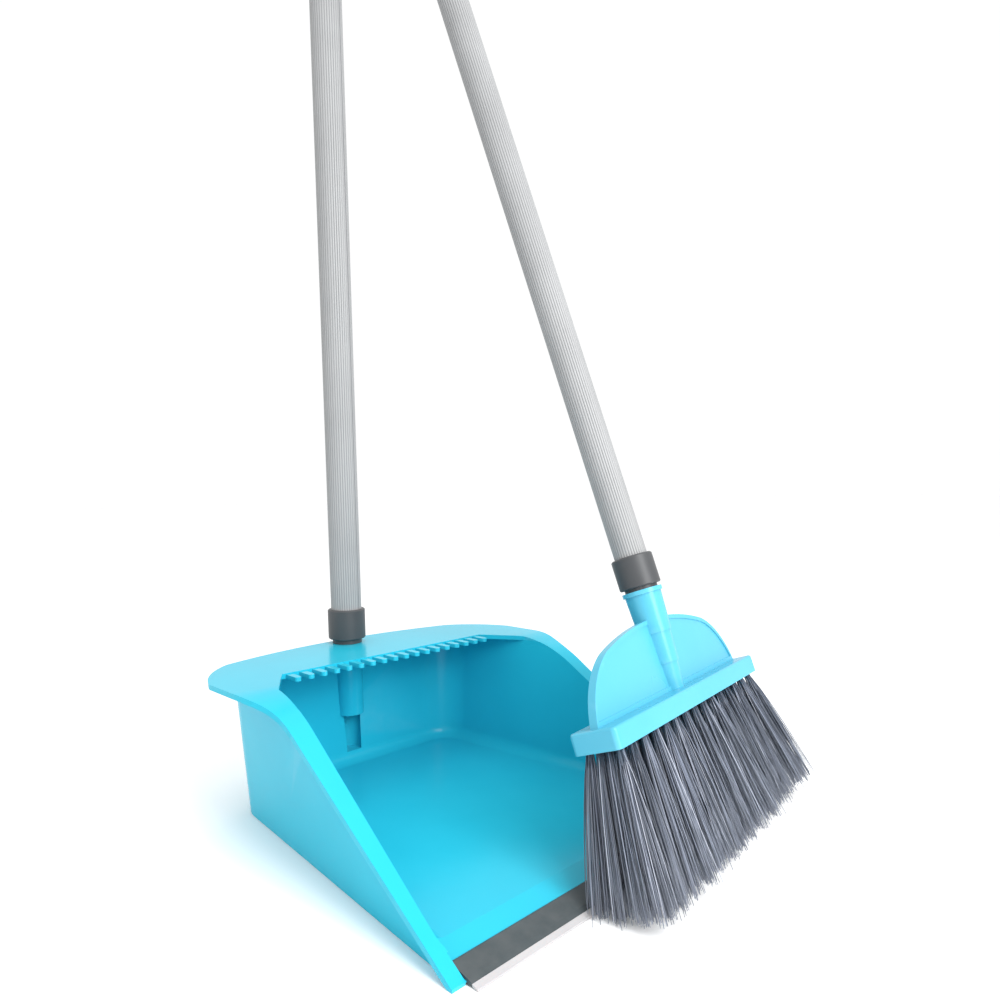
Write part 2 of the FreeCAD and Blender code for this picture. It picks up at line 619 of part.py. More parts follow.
def handle(prefix, placement):
    """One handle: ferrule, steel tube, ribbed sleeve, grip, end plug and loop."""
    sleeve = prefix + "_sleeve_radius"
    tube = "(%s - sleeve_wall - press_gap)" % sleeve
    bore = "(%s - tube_wall)" % tube
    plug = "(%s - press_gap)" % bore
    ring = prefix + "_ring_radius"
    ring_top = prefix + "_ring_height"
    collar = "(%s + %s_collar_wall)" % (sleeve, prefix)
    collar_top = "(%s_ring_height + %s_collar_height)" % (prefix, prefix)
    cup = "(%s + press_gap)" % sleeve
    cup_floor = "(%s + collar_floor)" % ring_top
    tube_foot = "(%s + seat_gap)" % cup_floor
    top = prefix + "_tube_top"
    turned(prefix + "_handle_ferrule", [
        ("0", "-spigot_length"), ("(spigot_radius - 1)", "-spigot_length"),
        ("spigot_radius", "(1 - spigot_length)"), ("spigot_radius", "seat_gap"),
        (ring, "seat_gap"), (ring, ring_top), ("(%s - 0.6)" % collar, ring_top),
        (collar, "(%s + 0.6)" % ring_top), (collar, "(%s - 0.8)" % collar_top),
        ("(%s - 0.8)" % collar, collar_top), (cup, collar_top), (cup, cup_floor),
        (plug, cup_floor), (plug, "(%s + plug_rise)" % collar_top),
        ("0", "(%s + plug_rise)" % collar_top)], placement)
    turned(prefix + "_handle_tube", [
        (bore, tube_foot), (tube, tube_foot), (tube, top), (bore, top)], placement)
    turned(prefix + "_handle_sleeve", [
        ("(%s + press_gap)" % tube, tube_foot), (sleeve, tube_foot), (sleeve, top),
        ("(%s + press_gap)" % tube, top)], placement)
    flange_top = "(%s + seat_gap + end_plug_flange)" % top
    hole = "(stem_radius + stem_clearance)"
    turned(prefix + "_end_plug", [
        (hole, "(%s - end_plug_length)" % top), (plug, "(%s - end_plug_length)" % top),
        (plug, "(%s + seat_gap)" % top), (sleeve, "(%s + seat_gap)" % top),
        (sleeve, flange_top), (hole, flange_top)], placement)
    grip = "(%s + %s_grip_wall)" % (sleeve, prefix)
    grip_foot = "(%s - grip_length)" % top
    cap_foot = "(%s + seat_gap / 2)" % flange_top
    cap_top = "(%s + grip_cap - seat_gap / 2)" % flange_top
    turned(prefix + "_grip", [
        (cup, grip_foot), ("(%s - 1.4)" % grip, grip_foot),
        (grip, "(%s + 4)" % grip_foot), ("(%s - 0.8)" % grip, "(%s + 14)" % grip_foot),
        ("(%s - 0.8)" % grip, "(%s - 8)" % top), (grip, "(%s - 1)" % top),
        ("(%s - 2)" % grip, cap_top), ("grip_hole", cap_top), ("grip_hole", cap_foot),
        (cup, cap_foot)], placement)
    hanging_loop(prefix + "_hanging_loop", top, placement)


# ------------------------------------------------------------------- broom head
def web_outline(sketch, inset):
    """The fan-shaped web: two end arcs and a flat top arc, standing on the bar."""
    half = "(web_half - %s)" % inset
    top = "(web_half - web_shoulder_inset)"
    shoulder = "(web_shoulder - %s)" % inset
    outline(sketch, [("-" + half, inset), (half, inset, "web_end_radius", 1),
                     (top, shoulder, "web_top_radius", 1),
                     ("-" + top, shoulder, "web_end_radius", 1)])


def broom_head(placement):
    """Bar, web and socket in one moulding, before the tufts' holes."""
    body = doc.addObject("PartDesign::Body", "head_blank")
    plan = new_sketch(body, "bar_plan", "XY_Plane")
    outline(plan, [("-bar_half", "-bar_width / 2"), ("bar_half", "-bar_width / 2"),
                   ("bar_half", "bar_width / 2"), ("-bar_half", "bar_width / 2")])
    bar = pad(body, plan, "bar_height", downwards=True)
    uprights = round_edges(body, bar, lambda edge: edge.BoundBox.ZLength > 2,
                           "bar_round", "bar_corners")
    round_edges(body, uprights, lambda edge: edge.BoundBox.ZMin > -0.01,
                "bar_round / 2", "bar_top")
    web = new_sketch(body, "web", "XZ_Plane")
    web_outline(web, "0")
    pad(body, web, "bead_thickness", both_ways=True)
    doc.recompute()
    for side, name in ((1, "web_front"), (-1, "web_back")):
        face = new_sketch(body, name, "XZ_Plane")
        depth = "(web_thickness / 2)" if side > 0 else "(-web_thickness / 2)"
        face.setExpression("AttachmentOffset.Base.z", bound(depth))
        web_outline(face, "bead_width")
        cut(body, face, "bead_thickness", upwards=side > 0)
    socket = new_sketch(body, "socket", "XZ_Plane")
    low = "(spigot_radius + socket_low_wall)"
    middle = "(spigot_radius + socket_mid_wall)"
    rim = "(spigot_radius + socket_rim_wall)"
    under_rim = "(head_socket_height - head_rim_height)"
    outline(socket, [
        ("0", "-1"), ("(spigot_radius - socket_foot_waist)", "-1"), (low, "first_step"),
        ("(%s + step_size)" % low, "first_step"),
        (middle, "second_step"), ("(%s + step_size)" % middle, "second_step"),
        ("(spigot_radius + socket_top_wall)", under_rim), (rim, under_rim),
        (rim, "head_socket_height"), ("0", "head_socket_height")])
    turn = body.newObject("PartDesign::Revolution", "socket_turn")
    turn.Profile = socket
    turn.ReferenceAxis = (socket, ["V_Axis"])
    turn.Angle = 360
    doc.recompute()
    bore = new_sketch(body, "head_bore", "XY_Plane",
                      "(head_socket_height - spigot_length - 2)")
    circle_sketch(bore, "0", "0", "(spigot_radius + thread_clearance)")
    cut(body, bore, "head_socket_height", upwards=True)
    body.Placement = placement
    return body


def tuft_line(row, column):
    """Where a tuft leaves the bar and the way it points, in the broom's frame."""
    columns = int(size("tuft_columns"))
    rows = int(size("tuft_rows"))
    along = 2.0 * column / (columns - 1) - 1.0
    across = 2.0 * row / (rows - 1) - 1.0
    half = size("bar_half") - size("tuft_inset")
    root = Vector(along * half, across * size("row_pitch") * (rows - 1) / 2,
                  -size("bar_height"))
    slant_x = math.tan(math.radians(size("end_splay") * along))
    slant_y = math.tan(math.radians(size("row_splay") * across))
    direction = Vector(slant_x, slant_y, -1.0)
    direction.normalize()
    return root, direction


def tuft_reach(root, direction, placement):
    """How far a tuft runs below the bar before it meets the floor or the lip.

    Beside the pan's front corners the tips also stay above the rising rim.
    """
    start = placement.multVec(root)
    way = placement.Rotation.multVec(direction)
    tip = size("tuft_tip_radius")
    edge_drop = tip * math.sqrt(max(1.0 - way.z ** 2, 0.0))
    reach = min(size("tuft_length"), (start.z - edge_drop) / -way.z)
    end = start + way * reach
    beside = size("pan_front_half + lip_margin")
    if end.y + tip > -size("blade_reach") - 1.0 and abs(end.x) < beside:
        room = start.z - edge_drop - size("lip_clearance")
        reach = min(reach, room / -way.z)
        if abs(end.x) > size("pan_front_half - lip_margin"):
            slope = math.tan(math.radians(size(RIM_ANGLE)))
            over_rim = room - (start.y + tip) * slope
            reach = min(reach, over_rim / (way.y * slope - way.z))
    return reach


def cylinder_along(start, direction, radius, length):
    """A cylinder from a point along a direction."""
    return Part.makeCylinder(radius, length, start, direction)


def bristles(placement):
    """Each row of tufts in a node of its own; returns the holes that they sit in."""
    root_radius = size("tuft_root_radius")
    tip_radius = size("tuft_tip_radius")
    seat = size("tuft_seat")
    hole_radius = root_radius + size("tuft_gap")
    hole_depth = size("tuft_hole")
    anchors = []
    holes = []
    for row in range(int(size("tuft_rows"))):
        tufts = []
        for column in range(int(size("tuft_columns"))):
            root, direction = tuft_line(row, column)
            reach = tuft_reach(root, direction, placement)
            stub = cylinder_along(root - direction * seat, direction, root_radius, seat)
            brush = Part.makeCone(root_radius, tip_radius, reach, root, direction)
            tufts.append(stub.fuse(brush).removeSplitter())
            holes.append(cylinder_along(root - direction * hole_depth, direction,
                                        hole_radius, hole_depth + 2))
            anchor = Part.makeBox(3.2, 0.5, hole_depth - seat - 0.3,
                                  Vector(-1.6, -0.25, 0))
            turn = Rotation(Vector(0, 0, 1), direction)
            anchor.Placement = Placement(root - direction * (hole_depth - 0.15), turn)
            anchors.append(anchor)
        rows_node = doc.addObject("Part::Feature", "bristle_row_%d" % (row + 1))
        rows_node.Shape = Part.makeCompound(tufts)
        rows_node.Placement = placement
        keep("bristle_row_%d" % (row + 1), rows_node)
    anchor_node = doc.addObject("Part::Feature", "tuft_anchors")
    anchor_node.Shape = Part.makeCompound(anchors)
    anchor_node.Placement = placement
    keep("tuft_anchors", anchor_node)
    hole_tool = doc.addObject("Part::Feature", "tuft_holes")
    hole_tool.Shape = Part.makeCompound(holes)
    hole_tool.Placement = placement
    return hole_tool


# ------------------------------------------------------------------- assembly
def stance():
    """Where the broom stands: its own axis leans back over the pan's edge."""
    place = Vector(size("stance_x"), size("stance_y"), size("stance_height"))
    turn = Rotation(Vector(0, 0, 1), size("stance_turn"))
    lean = Rotation(Vector(1, 0, 0), -size("stance_lean"))
    return Placement(place, turn.multiply(lean))


def build():
    """Make every sub-part."""
    dustpan()
    lip()
    pan_mouth = Placement(Vector(0, size(HANDLE_Y), size("deck_height")), Rotation())
    handle("pan", pan_mouth)
    broom = stance()
    blank = broom_head(broom)
    holes = bristles(broom)
    head = doc.addObject("Part::Cut", "broom_head")
    head.Base = blank
    head.Tool = holes
    keep("broom_head", head)
    up = Placement(Vector(0, 0, size("head_socket_height")), Rotation())
    handle("broom", broom.multiply(up))


def check_and_export():
    """Refuse a failed object or a poor solid, then write one STEP file a node."""
    doc.recompute()
    for item in doc.Objects:
        if "Invalid" in item.State or "Error" in item.State:
            raise RuntimeError("%s failed: %s" % (item.Label, item.State))
    for node in NODES:
        shape = node.Shape
        if shape.isNull() or not shape.isValid() or not shape.Solids:
            raise RuntimeError("%s has no valid solid" % node.Label)
    for node in NODES:
        node.Shape.exportStep("parts/%s.step" % node.Label)
        box = node.Shape.BoundBox
        print("%-22s %2d solid(s) %9.0f mm3  x %.1f..%.1f  y %.1f..%.1f  z %.1f..%.1f" % (
            node.Label, len(node.Shape.Solids), node.Shape.Volume,
            box.XMin, box.XMax, box.YMin, box.YMax, box.ZMin, box.ZMax))


build()
check_and_export()
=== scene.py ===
import json
import logging
import math
from dataclasses import dataclass, field
from enum import Enum
from typing import Dict, List, Optional, Sequence, Tuple, Union

import bmesh
import bpy
import numpy as np
from mathutils import Matrix, Vector


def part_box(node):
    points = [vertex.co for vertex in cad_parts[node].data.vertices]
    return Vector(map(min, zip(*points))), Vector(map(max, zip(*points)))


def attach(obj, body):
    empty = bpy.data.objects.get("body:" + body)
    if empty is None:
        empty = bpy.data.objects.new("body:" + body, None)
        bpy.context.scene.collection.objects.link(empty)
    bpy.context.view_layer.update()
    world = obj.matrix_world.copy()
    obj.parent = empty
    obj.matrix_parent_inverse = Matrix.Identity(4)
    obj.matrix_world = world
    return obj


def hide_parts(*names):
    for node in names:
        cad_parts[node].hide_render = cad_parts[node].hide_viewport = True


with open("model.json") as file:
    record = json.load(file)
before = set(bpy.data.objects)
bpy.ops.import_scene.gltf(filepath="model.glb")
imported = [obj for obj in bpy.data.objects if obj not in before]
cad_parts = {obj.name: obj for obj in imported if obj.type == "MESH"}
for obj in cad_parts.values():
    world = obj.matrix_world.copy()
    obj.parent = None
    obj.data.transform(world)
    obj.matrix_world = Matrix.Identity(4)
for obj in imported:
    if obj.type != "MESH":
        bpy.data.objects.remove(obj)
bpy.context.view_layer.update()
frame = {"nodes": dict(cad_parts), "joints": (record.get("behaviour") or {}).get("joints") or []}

log = logging.getLogger("dust_pan_set")

Array = np.ndarray
Colour = Tuple[float, float, float]
Place = Tuple[float, float, float]
ShaderValue = Union[float, Sequence[float], bpy.types.NodeSocket]

FULL_TURN = 2.0 * math.pi

# A line whose level part is shorter than this, for a length of one, is upright.
UPRIGHT_LIMIT = 1e-6

# Edge rounding: lengths in metres, angles in degrees, areas in square metres.
MERGE_DISTANCE = 2e-6
SPECK_LENGTH = 1e-6
ONE_PLANE_ANGLE = 0.25
CREASE_ANGLE = 1.5
SHARP_ANGLE = 32.0
LARGE_FLAT_AREA = 0.0008
ROUNDING_SEGMENTS = 3
LARGEST_FACE_WINS = 100


# ------------------------------------------------------------------ vectors
def unit(vector: Sequence[float]) -> Array:
    """Scale a vector to length one.

    Args:
        vector: any vector that isn't zero.

    Returns:
        The vector of length one that points the same way.
    """
    vector = np.asarray(vector, float)
    return vector / np.linalg.norm(vector)


@dataclass(frozen=True)
class Axis:
    """A straight line with two directions square to it."""

    foot: Array
    along: Array
    side: Array
    front: Array

    def place(self, side: Array, front: Array, along: Array) -> Array:
        """Turn coordinates across and along the line into points of the frame.

        Args:
            side: distances in the side direction, in metres.
            front: distances in the front direction.
            along: distances along the line.

        Returns:
            One point for each set of coordinates.
        """
        return (self.foot + np.multiply.outer(side, self.side)
                + np.multiply.outer(front, self.front)
                + np.multiply.outer(along, self.along))

    def measure(self, node: str) -> Array:
        """Coordinates of a CAD node's vertices across and along the line.

        Args:
            node: the CAD node's name.

        Returns:
            One row of (side, front, along) for each vertex.
        """
        mesh = frame["nodes"][node].data
        points = np.zeros(len(mesh.vertices) * 3, np.float32)
        mesh.vertices.foreach_get("co", points)
        offset = points.reshape(-1, 3).astype(float) - self.foot
        return offset @ np.stack([self.side, self.front, self.along], axis=1)


def joint_axis(name: str) -> Axis:
    """The line that a joint of the CAD model turns about.

    Args:
        name: the joint's name.

    Returns:
        Its axis. The side direction is level, and the front direction is
        square to both, facing the way that the pan opens.
    """
    joint = next(item for item in frame["joints"] if item["name"] == name)
    along = unit(joint["axis"])
    level = np.cross(along, (0.0, 0.0, 1.0))
    upright = np.linalg.norm(level) <= UPRIGHT_LIMIT
    side = np.array((1.0, 0.0, 0.0)) if upright else unit(level)
    return Axis(np.asarray(joint["pos_m"], float), along, side, np.cross(side, along))


# -------------------------------------------------------------------- meshes
class Ends(Enum):
    """How the first and last rows of a tube of points are finished."""

    OPEN = "open"
    RING = "ring"


def new_piece(name: str, points: Array, faces: List[List[int]]) -> bpy.types.Object:
    """Put points and faces into a smooth-shaded mesh of their own.

    Args:
        name: the piece's name.
        points: (count, 3) positions in metres.
        faces: rows of point numbers, anticlockwise from outside.

    Returns:
        The object, linked to the scene.
    """
    mesh = bpy.data.meshes.new(name)
    mesh.from_pydata(points.tolist(), [], faces)
    mesh.polygons.foreach_set("use_smooth", np.full(len(faces), True))
    mesh.update()
    piece = bpy.data.objects.new(name, mesh)
    bpy.context.scene.collection.objects.link(piece)
    return piece


def write_values(piece: bpy.types.Object, values: Dict[str, Array]) -> None:
    """Store named numbers on a piece's points, for its material to read.

    Args:
        piece: the piece that gets the attributes.
        values: each attribute's name and its number for every point.
    """
    for name, numbers in values.items():
        attribute = piece.data.attributes.new(name, "FLOAT", "POINT")
        attribute.data.foreach_set("value", numbers.astype(np.float32))


def tube_faces(rows: int, columns: int, ends: Ends) -> Array:
    """Quads over rows of points that close round a tube.

    The face at row i and column j joins points (i, j), (i, j+1), (i+1, j+1)
    and (i+1, j), where the column after the last is the first. RING joins the
    last row to the first as well, as in a torus.

    Args:
        rows: how many rows of points there are.
        columns: how many points each row has.
        ends: whether the last row is joined to the first.

    Returns:
        One row of four point numbers for each quad.
    """
    turns = rows if ends is Ends.RING else rows - 1
    row, column = np.meshgrid(np.arange(turns), np.arange(columns), indexing="ij")
    after = (column + 1) % columns
    below = (row + 1) % rows
    quads = np.stack([row * columns + column, row * columns + after,
                      below * columns + after, below * columns + column], axis=-1)
    return quads.reshape(-1, 4)


def round_piece(name: str, axis: Axis, radius: Array, height: Array) -> bpy.types.Object:
    """A closed ring about an axis, from a radius that may change with angle.

    The section is a closed loop of (radius, height) rows, anticlockwise when
    the radius runs to the right and the height runs up. The point of row i at
    angle t is radius[i, t] * (cos t, sin t) across the axis and height[i, t]
    along it.

    Args:
        name: the piece's name.
        axis: the line that the piece is round.
        radius: (rows, angles) distances from the line.
        height: (rows, angles) distances along the line.

    Returns:
        The object.
    """
    angle = np.linspace(0.0, FULL_TURN, radius.shape[1], endpoint=False)
    points = axis.place(radius * np.cos(angle), -radius * np.sin(angle), height)
    faces = tube_faces(radius.shape[0], radius.shape[1], Ends.RING)
    return new_piece(name, points.reshape(-1, 3), faces.tolist())


def weigh_edges(work: bmesh.types.BMesh) -> None:
    """Give a bevel weight to each edge that a mould would round.

    Those are the sharp edges, and the blunt ones between two large flat faces.
    Triangles that lie in one plane are gathered first, so that the narrow
    facets of a rounded face stay as they are.

    Args:
        work: the mesh, with its doubled vertices merged.
    """
    weight = work.edges.layers.float.new("bevel_weight_edge")
    work.faces.index_update()
    group = list(range(len(work.faces)))

    def leader(number: int) -> int:
        """Follow a face to the first of its plane."""
        while group[number] != number:
            group[number] = group[group[number]]
            number = group[number]
        return number

    shared = [edge for edge in work.edges if len(edge.link_faces) == 2]
    for edge in shared:
        if edge.calc_face_angle(0.0) < math.radians(ONE_PLANE_ANGLE):
            first, second = (leader(face.index) for face in edge.link_faces)
            group[first] = second
    area: Dict[int, float] = {}
    for face in work.faces:
        plane = leader(face.index)
        area[plane] = area.get(plane, 0.0) + face.calc_area()
    for edge in shared:
        planes = [leader(face.index) for face in edge.link_faces]
        large = min(area[plane] for plane in planes) > LARGE_FLAT_AREA
        least_angle = math.radians(CREASE_ANGLE if large else SHARP_ANGLE)
        edge[weight] = 1.0 if edge.calc_face_angle(0.0) > least_angle else 0.0


def softened_copy(node: str, width: float) -> bpy.types.Object:
    """A copy of a CAD node with its edges rounded, as a mould leaves them.

    Args:
        node: the CAD node to copy.
        width: size of the rounding in metres.

    Returns:
        The copy, linked to the scene.
    """
    mesh = frame["nodes"][node].data.copy()
    work = bmesh.new()
    work.from_mesh(mesh)
    bmesh.ops.remove_doubles(work, verts=work.verts, dist=MERGE_DISTANCE)
    bmesh.ops.dissolve_degenerate(work, edges=work.edges, dist=SPECK_LENGTH)
    for face in work.faces:
        face.smooth = True
    weigh_edges(work)
    work.to_mesh(mesh)
    work.free()
    mesh.name = node + "_moulded"
    piece = bpy.data.objects.new(node + "_moulded", mesh)
    bpy.context.scene.collection.objects.link(piece)
    bevel = piece.modifiers.new("rounding", "BEVEL")
    bevel.width = width
    bevel.segments = ROUNDING_SEGMENTS
    bevel.limit_method = "WEIGHT"
    bevel.use_clamp_overlap = True
    level = piece.modifiers.new("level_faces", "WEIGHTED_NORMAL")
    level.mode = "FACE_AREA"
    level.weight = LARGEST_FACE_WINS
    level.keep_sharp = True
    return piece


# ------------------------------------------------------------- shader groups
# Places of the colour inputs and output among those of Blender's Mix node.
COLOUR_MIX_INPUTS = (0, 6, 7)
COLOUR_MIX_OUTPUT = 2


class ShaderTree:
    """A node tree, with short ways to add and join its nodes."""

    def __init__(self, tree: bpy.types.NodeTree) -> None:
        """Hold the tree."""
        self.tree = tree

    def feed(self, socket: bpy.types.NodeSocket, value: ShaderValue) -> None:
        """Join an input to another node's output, or give it a plain value."""
        if isinstance(value, bpy.types.NodeSocket):
            self.tree.links.new(value, socket)
        else:
            socket.default_value = value

    def add(self, kind: str, settings: Optional[Dict[str, object]] = None,
            **inputs: ShaderValue) -> bpy.types.Node:
        """Add a node, set its properties and fill its inputs.

        Args:
            kind: the node's type, without the leading ShaderNode.
            settings: properties of the node itself.
            **inputs: values or output sockets for inputs, by their names with
                underscores for spaces.

        Returns:
            The node.
        """
        node = self.tree.nodes.new("ShaderNode" + kind)
        for key, value in (settings or {}).items():
            setattr(node, key, value)
        self.fill(node, **inputs)
        return node

    def fill(self, node: bpy.types.Node, **inputs: ShaderValue) -> None:
        """Fill some of a node's inputs, by their names with underscores for spaces."""
        for key, value in inputs.items():
            self.feed(node.inputs[key.replace("_", " ")], value)

    def mix(self, factor: ShaderValue, low: ShaderValue, high: ShaderValue,
            blend: str = "MIX") -> bpy.types.NodeSocket:
        """Blend two colours.

        Args:
            factor: how much of the second colour shows, from 0 to 1.
            low: the first colour.
            high: the second colour.
            blend: how the two are put together.

        Returns:
            The resulting colour.
        """
        node = self.add("Mix", {"data_type": "RGBA", "blend_type": blend})
        for index, value in zip(COLOUR_MIX_INPUTS, (factor, low, high)):
            self.feed(node.inputs[index], value)
        return node.outputs[COLOUR_MIX_OUTPUT]

    def math(self, operation: str, *values: ShaderValue) -> bpy.types.NodeSocket:
        """Work out one operation on two or three numbers.

        Args:
            operation: the operation's name.
            *values: the numbers, in the operation's own order.

        Returns:
            The resulting number.
        """
        node = self.add("Math", {"operation": operation})
        for socket, value in zip(node.inputs, values):
            self.feed(socket, value)
        return node.outputs[0]

    def fraction(self, attribute: str) -> bpy.types.NodeSocket:
        """Read one of the numbers that the mesh carries on its points."""
        return self.add("Attribute", {"attribute_name": attribute}).outputs["Fac"]


class SurfaceGroups:
    """The effects that several materials share, each built once."""

    def __init__(self) -> None:
        """Build every group."""
        self.mottle = self._mottle()
        self.wear = self._wear()
        self.dust = self._dust()

    @staticmethod
    def _new(name: str, inputs: Dict[str, float],
             outputs: Sequence[str]) -> Tuple[ShaderTree, bpy.types.Node, bpy.types.Node]:
        """Start a group with named number inputs and outputs.

        Args:
            name: the group's name.
            inputs: each input's name and usual value.
            outputs: the outputs' names.

        Returns:
            The group's tree, its input node and its output node.
        """
        group = bpy.data.node_groups.new(name, "ShaderNodeTree")
        for key, value in inputs.items():
            socket = group.interface.new_socket(key, in_out="INPUT",
                                                socket_type="NodeSocketFloat")
            socket.default_value = value
        for key in outputs:
            group.interface.new_socket(key, in_out="OUTPUT", socket_type="NodeSocketFloat")
        enter = group.nodes.new("NodeGroupInput")
        leave = group.nodes.new("NodeGroupOutput")
        return ShaderTree(group), enter, leave

    def _mottle(self) -> bpy.types.NodeTree:
        """Slow changes of tint and a fine skin, as moulded plastic has."""
        shade, enter, leave = self._new(
            "moulded_skin", {"Patch Scale": 14.0, "Grain Scale": 900.0}, ("Tint", "Grain"))
        place = shade.add("TexCoord").outputs["Object"]
        patch = shade.add("TexNoise", Vector=place, Scale=enter.outputs["Patch Scale"],
                          Detail=4.0, Roughness=0.55)
        grain = shade.add("TexNoise", Vector=place, Scale=enter.outputs["Grain Scale"],
                          Detail=3.0, Roughness=0.6)
        spread = shade.add("MapRange", Value=patch.outputs["Fac"], From_Min=0.35,
                           From_Max=0.65)
        shade.tree.links.new(spread.outputs["Result"], leave.inputs["Tint"])
        shade.tree.links.new(grain.outputs["Fac"], leave.inputs["Grain"])
        return shade.tree

    def _wear(self) -> bpy.types.NodeTree:
        """Where edges stand proud and get rubbed."""
        shade, enter, leave = self._new("edge_rub", {"Amount": 0.5}, ("Mask",))
        place = shade.add("TexCoord").outputs["Object"]
        proud = shade.add("NewGeometry").outputs["Pointiness"]
        edge = shade.add("MapRange", Value=proud, From_Min=0.52, From_Max=0.62)
        break_up = shade.add("TexNoise", Vector=place, Scale=120.0, Detail=3.0)
        rubbed = shade.math("MULTIPLY", edge.outputs["Result"], break_up.outputs["Fac"])
        result = shade.math("MULTIPLY", rubbed, enter.outputs["Amount"])
        shade.tree.links.new(result, leave.inputs["Mask"])
        return shade.tree

    def _dust(self) -> bpy.types.NodeTree:
        """A thin film that lies on what faces up."""
        shade, enter, leave = self._new("dust_film", {"Amount": 0.1}, ("Mask",))
        place = shade.add("TexCoord").outputs["Object"]
        facing = shade.add("SeparateXYZ", Vector=shade.add("NewGeometry").outputs["Normal"])
        up = shade.add("MapRange", Value=facing.outputs["Z"], From_Min=0.4)
        cloud = shade.add("TexNoise", Vector=place, Scale=38.0, Detail=6.0, Roughness=0.7)
        lies = shade.math("MULTIPLY", up.outputs["Result"], cloud.outputs["Fac"])
        result = shade.math("MULTIPLY", lies, enter.outputs["Amount"])
        shade.tree.links.new(result, leave.inputs["Mask"])
        return shade.tree


def place_group(shade: ShaderTree, group: bpy.types.NodeTree,
                values: Dict[str, float]) -> bpy.types.Node:
    """Put one of the shared effects into a material with its own values.

    Args:
        shade: the material's tree.
        group: the shared effect.
        values: its inputs' names and numbers.

    Returns:
        The group's node in the material.
    """
    node = shade.tree.nodes.new("ShaderNodeGroup")
    node.node_tree = group
    for key, value in values.items():
        node.inputs[key].default_value = value
    return node


def start_material(name: str) -> Tuple[bpy.types.Material, ShaderTree, bpy.types.Node]:
    """Make a material with only its Principled shader in place.

    Args:
        name: the material's name.

    Returns:
        The material, its tree and its Principled shader.
    """
    material = bpy.data.materials.new(name)
    material.use_nodes = True
    shader = material.node_tree.nodes["Principled BSDF"]
    return material, ShaderTree(material.node_tree), shader


def rgba(colour: Colour) -> Tuple[float, float, float, float]:
    """Add an alpha of one to a colour."""
    return (colour[0], colour[1], colour[2], 1.0)


# -------------------------------------------------------------------- finishes
@dataclass(frozen=True)
class MouldedPlastic:
    """Injection-moulded plastic: glossy or satin, slightly uneven in tint."""

    name: str
    colour: Colour
    deep: Colour
    roughness: float
    rub: float
    spread: float = 0.05
    patch_scale: float = 14.0
    grain_scale: float = 900.0
    grain_depth: float = 0.00002
    grain_strength: float = 0.35
    rubbed: Colour = (0.6, 0.85, 0.9)
    dust: float = 0.05
    dust_tint: Colour = (0.55, 0.53, 0.5)
    glow: float = 0.0
    glow_depth: Place = (0.002, 0.004, 0.005)
    shine: float = 0.5
    index: float = 1.48

    def build(self, groups: SurfaceGroups) -> bpy.types.Material:
        """Make the material.

        Args:
            groups: the effects that the materials share.

        Returns:
            A material whose tint, roughness and skin change over the surface.
        """
        material, shade, shader = start_material(self.name)
        skin = place_group(shade, groups.mottle,
                           {"Patch Scale": self.patch_scale, "Grain Scale": self.grain_scale})
        wear = place_group(shade, groups.wear, {"Amount": self.rub})
        film = place_group(shade, groups.dust, {"Amount": self.dust})
        base = shade.mix(skin.outputs["Tint"], rgba(self.deep), rgba(self.colour))
        worn = shade.mix(wear.outputs["Mask"], base, rgba(self.rubbed))
        dusty = shade.mix(film.outputs["Mask"], worn, rgba(self.dust_tint))
        uneven = shade.math("MULTIPLY_ADD", skin.outputs["Tint"], self.spread, self.roughness)
        rough = shade.math("ADD", uneven, film.outputs["Mask"])
        bump = shade.add("Bump", Height=skin.outputs["Grain"], Strength=self.grain_strength,
                         Distance=self.grain_depth)
        shade.fill(shader, Base_Color=dusty, Roughness=rough, Normal=bump.outputs["Normal"],
                   IOR=self.index, Specular_IOR_Level=self.shine,
                   Subsurface_Weight=self.glow, Subsurface_Radius=self.glow_depth)
        return material


@dataclass(frozen=True)
class RolledMetal:
    """Bare metal with long scratches from its rolling or drawing."""

    name: str
    colour: Colour = (0.55, 0.55, 0.56)
    dark: Colour = (0.33, 0.33, 0.34)
    roughness: float = 0.34
    spread: float = 0.2
    scratch_scale: Place = (900.0, 900.0, 14.0)

    def build(self, groups: SurfaceGroups) -> bpy.types.Material:
        """Make the material: long scratches from noise stretched along Z.

        Args:
            groups: the effects that the materials share; metal needs none.

        Returns:
            The material.
        """
        material, shade, shader = start_material(self.name)
        place = shade.add("TexCoord").outputs["Object"]
        stretch = shade.add("Mapping", Vector=place, Scale=self.scratch_scale)
        lines = shade.add("TexNoise", Vector=stretch.outputs["Vector"], Scale=1.0, Detail=3.0)
        base = shade.mix(lines.outputs["Fac"], rgba(self.dark), rgba(self.colour))
        rough = shade.math("MULTIPLY_ADD", lines.outputs["Fac"], self.spread, self.roughness)
        shade.fill(shader, Base_Color=base, Roughness=rough, Metallic=1.0)
        return material


